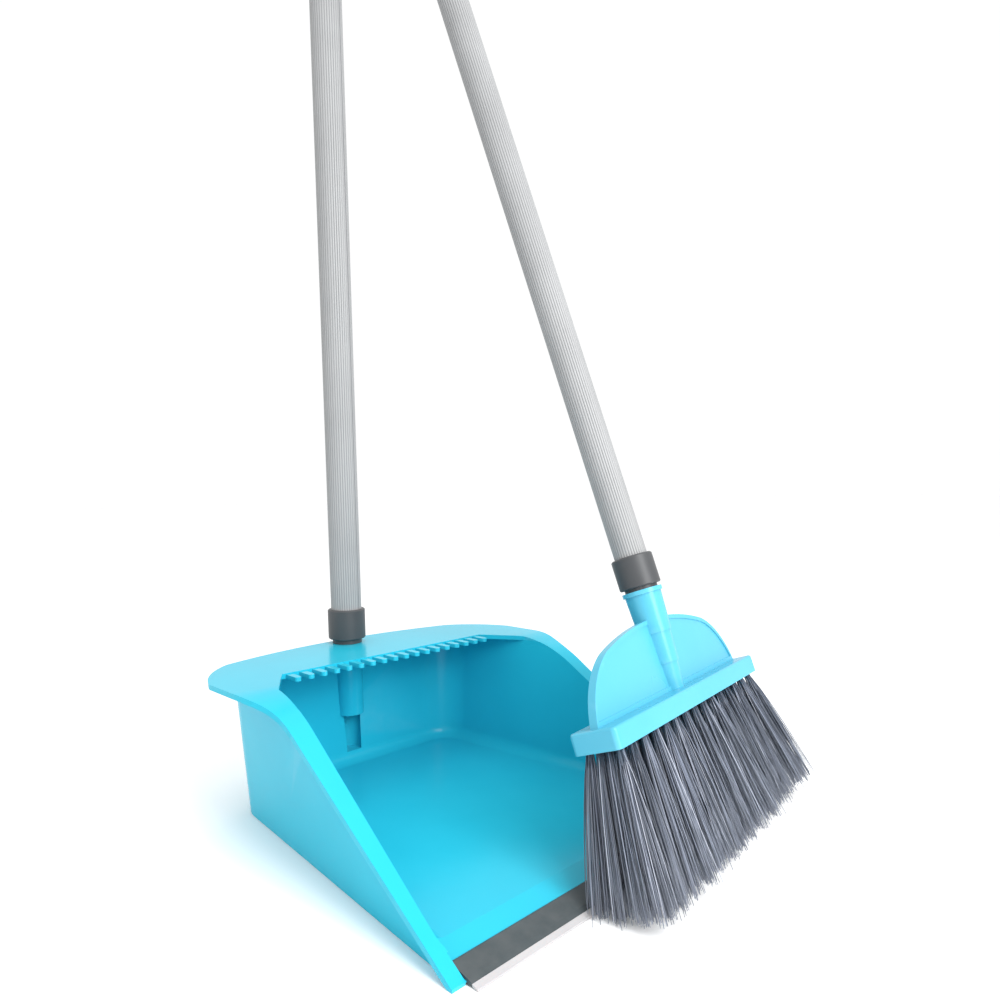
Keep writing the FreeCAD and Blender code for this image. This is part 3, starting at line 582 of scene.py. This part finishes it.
@dataclass(frozen=True)
class RibbedSkin:
    """The plastic skin of a handle: grey, with painted shade between its ribs, and darker at its
    seam.
    """

    name: str
    crest: Colour = (0.34, 0.345, 0.35)
    # Painted shade: the darker grey laid between the ribs, where shade falls.
    groove_shade: Colour = (0.185, 0.19, 0.195)
    seam: Colour = (0.10, 0.10, 0.11)
    shade_low: Colour = (0.9, 0.9, 0.9)
    shade_high: Colour = (1.0, 1.0, 1.0)
    patch_scale: float = 22.0
    grain_scale: float = 1400.0
    grain_depth: float = 0.00002
    grain_strength: float = 0.3
    dust: float = 0.05
    dust_tint: Colour = (0.5, 0.48, 0.45)
    roughness: float = 0.36
    spread: float = 0.1

    def build(self, groups: SurfaceGroups) -> bpy.types.Material:
        """Make the material from the sleeve's own rib and seam attributes; the rib values paint
        shade between the ribs.

        Args:
            groups: the effects that the materials share.

        Returns:
            The material.
        """
        material, shade, shader = start_material(self.name)
        skin = place_group(shade, groups.mottle,
                           {"Patch Scale": self.patch_scale, "Grain Scale": self.grain_scale})
        film = place_group(shade, groups.dust, {"Amount": self.dust})
        # Painted shade: the grooves get the darker grey, the crests the lighter one.
        ribs = shade.mix(shade.fraction("rib_shading"), rgba(self.groove_shade), rgba(self.crest))
        shaded = shade.mix(skin.outputs["Tint"], rgba(self.shade_low), rgba(self.shade_high))
        tinted = shade.mix(1.0, ribs, shaded, "MULTIPLY")
        lined = shade.mix(shade.fraction("seam"), tinted, rgba(self.seam))
        dusty = shade.mix(film.outputs["Mask"], lined, rgba(self.dust_tint))
        bump = shade.add("Bump", Height=skin.outputs["Grain"], Strength=self.grain_strength,
                         Distance=self.grain_depth)
        rough = shade.math("MULTIPLY_ADD", skin.outputs["Tint"], self.spread, self.roughness)
        shade.fill(shader, Base_Color=dusty, Roughness=rough, Normal=bump.outputs["Normal"])
        return material


@dataclass(frozen=True)
class Filament:
    """Drawn plastic filament: each strand has its own grey, the palest of them a painted
    highlight, and a soft shine.
    """

    name: str
    dark: Colour = (0.060, 0.072, 0.096)
    middle: Colour = (0.185, 0.215, 0.285)
    # The light grey is a painted highlight: the grey of strands that catch the light.
    light: Colour = (0.50, 0.53, 0.61)
    dark_until: float = 0.12
    middle_at: float = 0.6
    highlight_from: float = 0.97
    tip_fade: float = 0.22
    roughness: float = 0.32
    spread: float = 0.15
    index: float = 1.5

    def build(self, groups: SurfaceGroups) -> bpy.types.Material:
        """Make the material from the strand attribute and the way along it.

        Args:
            groups: the effects that the materials share; filament needs none.

        Returns:
            The material.
        """
        material, shade, shader = start_material(self.name)
        strand = shade.fraction("strand")
        ramp = shade.add("ValToRGB", Fac=strand)
        steps = ramp.color_ramp.elements
        steps[0].color = rgba(self.dark)
        steps[0].position = self.dark_until
        steps[1].color = rgba(self.light)
        steps[1].position = self.highlight_from
        steps.new(self.middle_at).color = rgba(self.middle)
        # Painted highlight: the tips blend towards the light grey.
        tips = shade.math("MULTIPLY", shade.fraction("reach"), self.tip_fade)
        base = shade.mix(tips, ramp.outputs["Color"], rgba(self.light))
        rough = shade.math("MULTIPLY_ADD", strand, self.spread, self.roughness)
        shade.fill(shader, Base_Color=base, Roughness=rough, IOR=self.index)
        return material


def dress(piece: bpy.types.Object, material: bpy.types.Material) -> None:
    """Give a piece one material in place of any that it has.

    Args:
        piece: the piece to dress.
        material: its new finish.
    """
    piece.data.materials.clear()
    piece.data.materials.append(material)


@dataclass(frozen=True)
class Palette:
    """Every finish of the set, made once."""

    pan: bpy.types.Material
    head: bpy.types.Material
    collar: bpy.types.Material
    grip: bpy.types.Material
    sleeve: bpy.types.Material
    steel: bpy.types.Material
    rubber: bpy.types.Material
    blade: bpy.types.Material
    filament: bpy.types.Material
    wire: bpy.types.Material

    @classmethod
    def mix(cls) -> "Palette":
        """Build all the finishes.

        Returns:
            The palette.
        """
        groups = SurfaceGroups()
        rubbed_grey = (0.2, 0.2, 0.21)
        finishes = {
            "pan": MouldedPlastic("cyan_pan", (0.020, 0.475, 0.635), (0.017, 0.45, 0.61),
                                  roughness=0.2, rub=0.1, spread=0.02, dust=0.008,
                                  shine=0.18),
            "head": MouldedPlastic("cyan_head", (0.085, 0.42, 0.57), (0.075, 0.40, 0.55),
                                   roughness=0.26, rub=0.12, spread=0.02, dust=0.012,
                                   shine=0.4),
            "collar": MouldedPlastic("charcoal_collar", (0.055, 0.058, 0.062),
                                     (0.04, 0.042, 0.046), roughness=0.42, rub=0.6,
                                     rubbed=rubbed_grey, grain_depth=0.00005),
            "grip": MouldedPlastic("charcoal_grip", (0.05, 0.052, 0.056),
                                   (0.035, 0.037, 0.04), roughness=0.55, rub=0.5,
                                   rubbed=rubbed_grey, grain_scale=500.0,
                                   grain_depth=0.0001, dust=0.12),
            "sleeve": RibbedSkin("ribbed_sleeve"),
            "steel": RolledMetal("rolled_steel"),
            "rubber": MouldedPlastic("lip_rubber", (0.040, 0.056, 0.063),
                                     (0.030, 0.044, 0.050), roughness=0.42, rub=0.3,
                                     rubbed=(0.2, 0.2, 0.2), dust=0.04, shine=0.25),
            "blade": MouldedPlastic("pale_blade", (0.50, 0.49, 0.49), (0.43, 0.42, 0.43),
                                    roughness=0.45, rub=0.0, glow=0.1),
            "filament": Filament("grey_filament"),
            "wire": RolledMetal("anchor_wire", (0.6, 0.56, 0.45), (0.4, 0.37, 0.3), 0.3),
        }
        return cls(**{use: finish.build(groups) for use, finish in finishes.items()})


# ------------------------------------------------------------ groups of pieces
@dataclass
class Group:
    """Pieces that are made and dressed together."""

    pieces: List[bpy.types.Object] = field(default_factory=list, init=False)

    def finish(self, piece: bpy.types.Object, node: str, body: str, slot: str) -> bpy.types.Object:
        """Put a piece in the place of its CAD node.

        Args:
            piece: the new piece.
            node: the CAD node that it stands for.
            body: the body that it rides on.
            slot: the name of its material slot; not used.

        Returns:
            The piece.
        """
        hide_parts(node)
        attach(piece, body)
        self.pieces.append(piece)
        return piece


# ------------------------------------------------------------------- the pan
@dataclass
class DustPan(Group):
    """The pan moulding with its two-part lip."""

    rounding: float = 0.0006

    def build(self) -> None:
        """Round the moulding's edges and keep the lip as it is drawn."""
        node = "dustpan_moulding"
        moulding = softened_copy(node, self.rounding)
        self.moulding = self.finish(moulding, node, "pan", "pan_plastic")

    def dress(self, palette: Palette) -> None:
        """Give the moulding and the lip their finishes."""
        dress(self.moulding, palette.pan)
        dress(frame["nodes"]["lip_carrier"], palette.rubber)
        dress(frame["nodes"]["lip_blade"], palette.blade)


# ----------------------------------------------------------------- the handles
# The grip's profile: each row's share of the length from its lower end, and how
# many millimetres it lies inside the widest radius.
GRIP_PROFILE = (
    (0.0, 1.3), (0.006, 0.7), (0.02, 0.25), (0.04, 0.0), (0.09, 0.15), (0.13, 0.5),
    (0.2, 0.35), (0.35, 0.1), (0.5, 0.0), (0.65, 0.1), (0.8, 0.35), (0.87, 0.5),
    (0.91, 0.15), (0.95, 0.0), (0.975, 0.4), (0.99, 1.1), (1.0, 2.2))


@dataclass
class Handle(Group):
    """One long handle: ferrule, tube, ribbed sleeve, grip, end plug and loop."""

    prefix: str
    rib_count: int = 40
    rib_depth: float = 0.00028
    rib_samples: int = 6
    rib_power: float = 0.7
    sleeve_rows: int = 9
    sleeve_crease: float = 60.0
    seam_angle: float = -1.2
    seam_half_width: float = 0.06
    flutes: int = 16
    flute_samples: int = 10
    flute_depth: float = 0.0008
    flute_start: float = 0.13
    flute_end: float = 0.87
    flute_fade: float = 0.05
    grip_crease: float = 50.0
    grip_cap: float = 0.003
    end_depth: float = 0.0005
    ferrule_rounding: float = 0.0005

    def __post_init__(self) -> None:
        """Find the handle's own axis."""
        self.axis = joint_axis(self.prefix + "_handle_turn")
        self.body = self.prefix + "_handle"

    def extent(self, node: str) -> Tuple[Array, Array]:
        """Measure a round CAD node about the handle's axis.

        Args:
            node: the CAD node's name.

        Returns:
            Each vertex's distance from the axis and its place along it.
        """
        at = self.axis.measure(node)
        return np.hypot(at[:, 0], at[:, 1]), at[:, 2]

    def build_sleeve(self) -> None:
        """The ribbed sleeve.

        Outside, the radius at angle t is R - d * (1 - |cos(n t / 2)| ** p) for n
        ribs of depth d, with one narrow groove where the skin's seam runs.
        Inside, it is the plain bore of the CAD sleeve.
        """
        node = self.prefix + "_handle_sleeve"
        distance, along = self.extent(node)
        low, high = along.min(), along.max()
        count = self.rib_count * self.rib_samples
        angle = np.linspace(0.0, FULL_TURN, count, endpoint=False)
        wave = np.abs(np.cos(angle * self.rib_count / 2.0)) ** self.rib_power
        gap = np.abs((angle - self.seam_angle + math.pi) % FULL_TURN - math.pi)
        seam = np.clip(1.0 - gap / self.seam_half_width, 0.0, 1.0)
        crest = distance.max() - self.rib_depth * np.maximum(1.0 - wave, seam)
        rows = self.sleeve_rows
        outside = np.repeat(crest[None, :], rows, axis=0)
        inside = np.full((1, count), distance.min())
        radius = np.concatenate([inside, outside, inside])
        heights = np.concatenate([[low], np.linspace(low, high, rows), [high]])
        height = heights[:, None] * np.ones(count)
        piece = round_piece(self.prefix + "_ribbed_sleeve", self.axis, radius, height)
        # The rib values are a painted-shade mask: 0 in the grooves, 1 on the crests.
        write_values(piece, {"rib_shading": np.tile(wave, rows + 2), "seam": np.tile(seam, rows + 2)})
        piece.data.set_sharp_from_angle(angle=math.radians(self.sleeve_crease))
        self.sleeve = self.finish(piece, node, self.body, "sleeve_plastic")

    def build_grip(self) -> None:
        """The moulded grip.

        Its outside follows a cushion-like profile and is fluted lengthwise: the
        radius at angle t is r(z) - d * (1 - |cos(n t / 2)|) * w(z), where w
        fades the n flutes out towards both ends. Inside, a wide bore takes the
        sleeve, and a narrower hole goes through the cap at the top.
        """
        node = self.prefix + "_grip"
        distance, along = self.extent(node)
        outer, low, high = distance.max(), along.min(), along.max()
        hole = distance[along > high - self.end_depth].min()
        bore = distance[along < low + self.end_depth].min()
        count = self.flutes * self.flute_samples
        angle = np.linspace(0.0, FULL_TURN, count, endpoint=False)
        flute = 1.0 - np.abs(np.cos(angle * self.flutes / 2.0))
        share, inset = np.array(GRIP_PROFILE).T
        to_end = np.minimum(share - self.flute_start, self.flute_end - share)
        fade = np.clip(to_end / self.flute_fade, 0.0, 1.0)
        shell = (outer - inset * 0.001)[:, None] - self.flute_depth * fade[:, None] * flute
        inner = np.array([hole, hole, bore, bore])
        inner_height = np.array([high, high - self.grip_cap, high - self.grip_cap, low])
        radii = np.concatenate([shell, np.repeat(inner[:, None], count, axis=1)])
        height = np.concatenate([low + share * (high - low), inner_height])
        heights = height[:, None] * np.ones(count)
        piece = round_piece(self.prefix + "_fluted_grip", self.axis, radii, heights)
        piece.data.set_sharp_from_angle(angle=math.radians(self.grip_crease))
        self.grip = self.finish(piece, node, self.body, "grip_plastic")

    def build(self) -> None:
        """Make the pieces that need more than the CAD shape."""
        self.build_sleeve()
        self.build_grip()
        node = self.prefix + "_handle_ferrule"
        ferrule = softened_copy(node, self.ferrule_rounding)
        self.ferrule = self.finish(ferrule, node, self.body, "ferrule_plastic")

    def dress(self, palette: Palette) -> None:
        """Give each piece of the handle its finish."""
        dress(self.sleeve, palette.sleeve)
        dress(self.grip, palette.grip)
        dress(self.ferrule, palette.collar)
        dress(frame["nodes"][self.prefix + "_handle_tube"], palette.steel)
        dress(frame["nodes"][self.prefix + "_end_plug"], palette.grip)
        dress(frame["nodes"][self.prefix + "_hanging_loop"], palette.grip)


# ------------------------------------------------------------------- the broom
@dataclass
class BroomHead(Group):
    """The broom's moulding, its four rows of filament tufts and their wire."""

    rounding: float = 0.0005
    rows: int = 4
    strands: int = 125
    steps: int = 7
    sides: int = 3
    strand_radius: float = 0.00027
    strand_taper: float = 0.35
    root_radius: float = 0.0019
    tip_spread: float = 0.0088
    spread_scatter: float = 0.25
    tip_scatter: float = 0.0012
    fan_power: float = 0.75
    bow: float = 0.0022
    locks: int = 7
    lock_pull: float = 0.5
    length_spread: float = 0.0035
    length_range: Tuple[float, float] = (-1.0, 0.6)
    stray_share: float = 0.025
    stray_gain: float = 1.7
    tone_shape: Tuple[float, float] = (1.6, 2.4)
    floor_gap: float = 0.0004
    lip_gap: float = 0.0022
    lip_front: float = 0.005
    lip_side: float = 0.012
    lip_ease: float = 0.004
    seed: int = 11

    def __post_init__(self) -> None:
        """Find the broom's own axis."""
        self.axis = joint_axis("broom_handle_turn")

    def build(self) -> None:
        """Round the moulding's edges and grow the filaments of each row."""
        node = "broom_head"
        moulding = softened_copy(node, self.rounding)
        self.moulding = self.finish(moulding, node, "broom", "head_plastic")
        self.tufts = [self.build_row(row) for row in range(self.rows)]

    def shells(self, node: str) -> List[Array]:
        """Part a row's CAD node into its tufts.

        Args:
            node: the row's CAD node.

        Returns:
            Each tuft's points across and along the broom's line, in the order
            of the bar.
        """
        work = bmesh.new()
        work.from_mesh(frame["nodes"][node].data)
        bmesh.ops.remove_doubles(work, verts=work.verts, dist=MERGE_DISTANCE)
        waiting = set(work.verts)
        tufts = []
        while waiting:
            island = [waiting.pop()]
            for vertex in island:
                for edge in vertex.link_edges:
                    other = edge.other_vert(vertex)
                    if other in waiting:
                        waiting.remove(other)
                        island.append(other)
            tufts.append(np.array([vertex.co[:] for vertex in island], float))
        work.free()
        turn = np.stack([self.axis.side, self.axis.front, self.axis.along], axis=1)
        placed = [(tuft - self.axis.foot) @ turn for tuft in tufts]
        return sorted(placed, key=lambda at: at[:, 0].mean())

    def tuft_lines(self, node: str) -> Tuple[Array, Array, Array]:
        """Find where each tuft of a row leaves the bar, its way and its length.

        A tuft's middle line is the main direction of its shell's points, as
        their singular values give it, through the middle of those points.

        Args:
            node: the row's CAD node.

        Returns:
            Starts and ways, one row for each tuft, and the lengths below the
            bar, all across and along the broom's line.
        """
        under = float(self.axis.measure("broom_head")[:, 2].min())
        starts, ways, lengths = [], [], []
        for at in self.shells(node):
            middle = at.mean(axis=0)
            way = np.linalg.svd(at - middle, full_matrices=False)[2][0]
            way = way if way[2] < 0.0 else -way
            start = middle + way * (under - middle[2]) / way[2]
            starts.append(start)
            ways.append(way)
            lengths.append(float(((at - start) @ way).max()))
        return np.array(starts), np.array(ways), np.array(lengths)

    def build_row(self, row: int) -> bpy.types.Object:
        """One row of tufts, as bundles of thin three-sided strands.

        Strand s of a tuft starts at a point of the root disc and ends at the
        same point of a wider disc, with a small scatter of its own. At a share
        t of its length it has gone t along the tuft and t to the fan power of
        the way across, plus a shallow bow of t squared less t. Strands of one
        lock end near each other.

        Args:
            row: the row's number, from 0 for bristle_row_1.

        Returns:
            The row's strands in one piece.
        """
        node = "bristle_row_%d" % (row + 1)
        start, way, length = self.tuft_lines(node)
        chance = np.random.default_rng(self.seed + row)
        shape = (len(start), self.strands)
        turn = chance.uniform(0.0, FULL_TURN, shape)
        ring = np.sqrt(chance.uniform(0.0, 1.0, shape))
        uneven = 1.0 + self.spread_scatter * chance.standard_normal(shape)
        spread = ring * self.tip_spread * uneven
        stray = chance.uniform(0.0, 1.0, shape) < self.stray_share
        spread = np.where(stray, spread * self.stray_gain, spread)
        longer = self.length_spread * chance.uniform(*self.length_range, shape)
        reach = length[:, None] + longer
        side = np.stack([np.cos(turn), np.sin(turn)], axis=-1)
        first = side * (ring * self.root_radius)[..., None]
        scatter = self.tip_scatter * chance.standard_normal(shape + (2,))
        last = side * spread[..., None] + scatter
        lock = chance.integers(0, self.locks, shape)
        gathered = np.take_along_axis(last, lock[..., None], axis=1)
        last = last + self.lock_pull * (gathered - last)
        bow = self.bow * chance.standard_normal(shape + (2,))
        share = np.linspace(0.0, 1.0, self.steps)
        grow = share ** self.fan_power
        across = (first[:, :, None] * (1.0 - grow)[:, None]
                  + last[:, :, None] * grow[:, None]
                  + bow[:, :, None] * (share ** 2 - share)[:, None])
        along = (reach[..., None] * share)[..., None] * way[:, None, None, :]
        centre = start[:, None, None, :] + along
        centre[..., :2] += across
        world = self.axis.place(centre[..., 0], centre[..., 1], centre[..., 2])
        world[..., 2] = self.hold_above(world)
        return self.strand_piece(node, world.reshape(-1, self.steps, 3), chance, share)

    def hold_above(self, world: Array) -> Array:
        """Keep strand points above the floor and above the pan's lip.

        The least height is a small gap over the floor, and it rises smoothly
        to clear the lip and the pan's corner where a strand ends over them.

        Args:
            world: the strands' points in the frame.

        Returns:
            The points' heights, raised where they were too low.
        """
        low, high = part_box("lip_carrier")
        behind = world[..., 1] - (low.y - self.lip_front)
        within = high.x + self.lip_side - np.abs(world[..., 0])
        back = np.clip(behind / self.lip_ease, 0.0, 1.0)
        inside = np.clip(within / self.lip_ease, 0.0, 1.0)
        least = self.floor_gap + (high.z + self.lip_gap) * back * inside
        return np.maximum(world[..., 2], least)

    def strand_piece(self, node: str, lines: Array, chance: np.random.Generator,
                     share: Array) -> bpy.types.Object:
        """Give every strand's middle line a thin skin that narrows to its tip.

        Args:
            node: the CAD node that the strands stand for.
            lines: (strands, steps, 3) points of the middle lines.
            chance: the row's source of random numbers.
            share: how far along its strand each step lies, from 0 to 1.

        Returns:
            The row's strands in one piece.
        """
        count = len(lines)
        angle = np.linspace(0.0, FULL_TURN, self.sides, endpoint=False)
        spin = angle[None, :] + chance.uniform(0.0, FULL_TURN, (count, 1))
        round_way = (np.cos(spin)[..., None] * self.axis.side
                     + np.sin(spin)[..., None] * self.axis.front)
        thick = self.strand_radius * (1.0 - self.strand_taper * share ** 3)
        skin = lines[:, :, None, :] + thick[None, :, None, None] * round_way[:, None]
        block = self.steps * self.sides
        piece = new_piece(node + "_strands", skin.reshape(-1, 3), self.strand_faces(count))
        # strand picks each strand's grey, up to the painted highlight grey; reach blends the tips
        # towards that painted highlight.
        write_values(piece, {
            "strand": np.repeat(chance.beta(*self.tone_shape, count), block),
            "reach": np.tile(np.repeat(share, self.sides), count)})
        return self.finish(piece, node, "broom", "bristle_plastic")

    def strand_faces(self, count: int) -> List[List[int]]:
        """Join the points of closed strands into faces.

        Args:
            count: how many strands there are.

        Returns:
            The sides of every strand, then a triangle for each root, then one
            for each tip.
        """
        block = self.steps * self.sides
        shift = (np.arange(count) * block)[:, None]
        quads = tube_faces(self.steps, self.sides, Ends.OPEN)[:, ::-1]
        walls = (quads[None] + shift[..., None]).reshape(-1, 4)
        first = np.arange(self.sides)
        roots = first[None, :] + shift
        tips = first[None, ::-1] + shift + block - self.sides
        return walls.tolist() + roots.tolist() + tips.tolist()

    def dress(self, palette: Palette) -> None:
        """Give the moulding, the strands and the wire their finishes."""
        dress(self.moulding, palette.head)
        for tuft in self.tufts:
            dress(tuft, palette.filament)
        dress(frame["nodes"]["tuft_anchors"], palette.wire)


# ------------------------------------------------------------------ the studio
@dataclass(frozen=True)
class Panel:
    """A square light that faces a point, in metres and watts."""

    name: str
    place: Place
    target: Place
    width: float
    power: float

    def hang(self) -> None:
        """Put the light in the scene."""
        light = bpy.data.lights.new(self.name, "AREA")
        light.size = self.width
        light.energy = self.power
        lamp = bpy.data.objects.new(self.name, light)
        way = Vector(self.target) - Vector(self.place)
        lamp.matrix_world = (Matrix.Translation(self.place)
                             @ way.to_track_quat("-Z", "Y").to_matrix().to_4x4())
        bpy.context.scene.collection.objects.link(lamp)


PANELS = (
    Panel("top_panel", (0.1, 0.0, 1.7), (0.0, 0.1, 0.1), 1.0, 4.5),
    Panel("front_panel", (0.0, -1.3, 0.62), (0.0, 0.1, 0.1), 0.55, 9.0),
    Panel("inside_panel", (-0.12, -0.55, 0.62), (0.02, 0.15, 0.03), 0.4, 4.0))


@dataclass
class Studio:
    """Pale floor, soft lights and the camera."""

    floor_half: float = 14.0
    floor_cells: int = 4
    floor_drop: float = 0.0002
    floor_deep: Colour = (0.99, 0.99, 0.99)
    floor_pale: Colour = (0.995, 0.995, 0.995)
    floor_roughness: float = 0.8
    floor_shine: float = 0.1
    room_strength: float = 1.02
    camera_place: Place = (-0.30945, -0.24273, 0.2051)
    azimuth: float = -43.79
    pitch: float = -5.48
    roll: float = -1.0
    lens: float = 27.06
    sensor: float = 36.0
    nearest: float = 0.01
    shift: Tuple[float, float] = (0.0243, 0.062)

    def build_floor(self) -> None:
        """A flat sheet just under the set, in square cells."""
        side = self.floor_cells + 1
        steps = np.linspace(-self.floor_half, self.floor_half, side)
        across, back = np.meshgrid(steps, steps, indexing="ij")
        height = np.full_like(across, -self.floor_drop)
        points = np.stack([across, back, height], axis=-1)
        cells = np.arange(self.floor_cells)
        row, column = np.meshgrid(cells, cells, indexing="ij")
        corner = row * side + column
        faces = np.stack([corner, corner + side, corner + side + 1, corner + 1], axis=-1)
        floor = new_piece("studio_floor", points.reshape(-1, 3), faces.reshape(-1, 4).tolist())
        material, shade, shader = start_material("pale_floor")
        place = shade.add("TexCoord").outputs["Object"]
        cloud = shade.add("TexNoise", Vector=place, Scale=3.0, Detail=3.0)
        base = shade.mix(cloud.outputs["Fac"], rgba(self.floor_deep), rgba(self.floor_pale))
        shade.fill(shader, Base_Color=base, Roughness=self.floor_roughness,
                   Specular_IOR_Level=self.floor_shine)
        dress(floor, material)

    def build_lights(self) -> None:
        """A white room, two large soft panels and a small one that faces into the pan."""
        world = bpy.data.worlds.new("white_room")
        world.use_nodes = True
        background = world.node_tree.nodes["Background"]
        background.inputs["Color"].default_value = (1.0, 1.0, 1.0, 1.0)
        background.inputs["Strength"].default_value = self.room_strength
        bpy.context.scene.world = world
        for panel in PANELS:
            panel.hang()

    def build_camera(self) -> None:
        """The camera: azimuth about the vertical, then pitch, then roll."""
        turn, tilt, roll = (math.radians(value)
                            for value in (self.azimuth, self.pitch, self.roll))
        right = Vector((math.cos(turn), math.sin(turn), 0.0))
        forward = Vector((-math.sin(turn) * math.cos(tilt),
                          math.cos(turn) * math.cos(tilt), math.sin(tilt)))
        up = right.cross(forward)
        leaning = right * math.cos(roll) + up * math.sin(roll)
        top = up * math.cos(roll) - right * math.sin(roll)
        data = bpy.data.cameras.new("camera")
        data.lens = self.lens
        data.sensor_width = self.sensor
        data.shift_x, data.shift_y = self.shift
        data.clip_start = self.nearest
        camera = bpy.data.objects.new("camera", data)
        turned = Matrix((leaning, top, -forward)).transposed().to_4x4()
        camera.matrix_world = Matrix.Translation(self.camera_place) @ turned
        bpy.context.scene.collection.objects.link(camera)
        bpy.context.scene.camera = camera

    def build(self) -> None:
        """Set the floor, the lights and the camera."""
        self.build_floor()
        self.build_lights()
        self.build_camera()
        bpy.context.scene.view_settings.view_transform = "Standard"


def main() -> None:
    """Build and dress the set in order and report each piece."""
    logging.basicConfig(level=logging.INFO, format="%(name)s: %(message)s")
    palette = Palette.mix()
    groups = [DustPan(), Handle("pan"), BroomHead(), Handle("broom", rib_count=38)]
    for group in groups:
        group.build()
        group.dress(palette)
        for piece in group.pieces:
            log.info("%s: %d faces", piece.name, len(piece.data.polygons))
    Studio().build()


if __name__ == "__main__":
    main()
